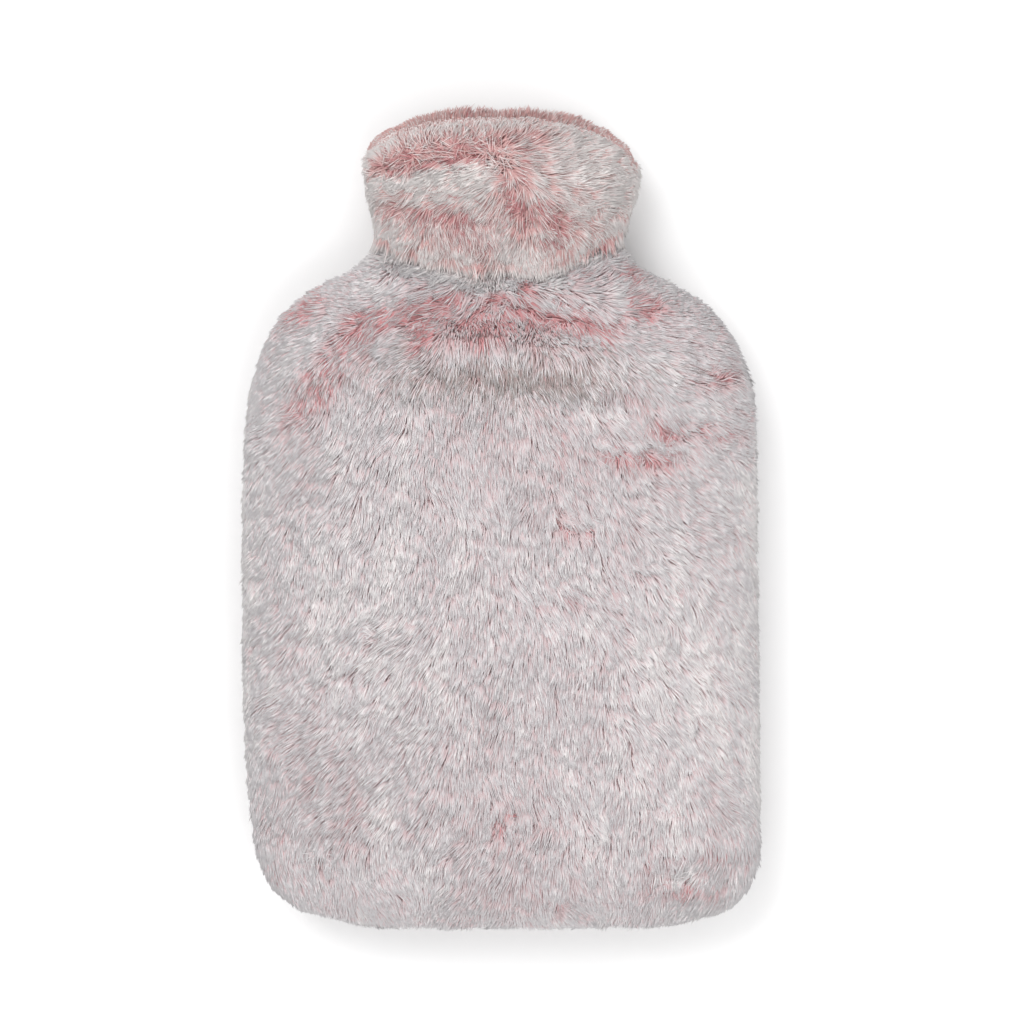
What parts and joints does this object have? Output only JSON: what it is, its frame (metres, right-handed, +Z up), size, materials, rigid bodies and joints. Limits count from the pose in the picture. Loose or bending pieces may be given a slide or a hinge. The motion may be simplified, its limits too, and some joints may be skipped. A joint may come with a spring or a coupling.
{
  "type": "hot water bottle cover",
  "caption": "Long-pile fur cloth cover that sheathes a hot water bottle, with rounded corners, gathered shoulders and a turned-down fur collar round an open mouth.",
  "frame": {"origin": "on the floor, under the middle of the bounding box", "axes": "+Y from the bottom seam to the mouth, +Z up out of the cover's face, +X to the right seen from above"},
  "size_m": [0.2211, 0.349, 0.0591],
  "materials": {
    "panel_fur": "long two-tone pile, rosy at the roots and whitish at the tips",
    "collar_fur": "long two-tone pile, rosier than the panels"
  },
  "bodies": {
    "root": {"front_panel": "panel_fur", "back_panel": "panel_fur", "collar": "collar_fur"}
  },
  "joints": []
}
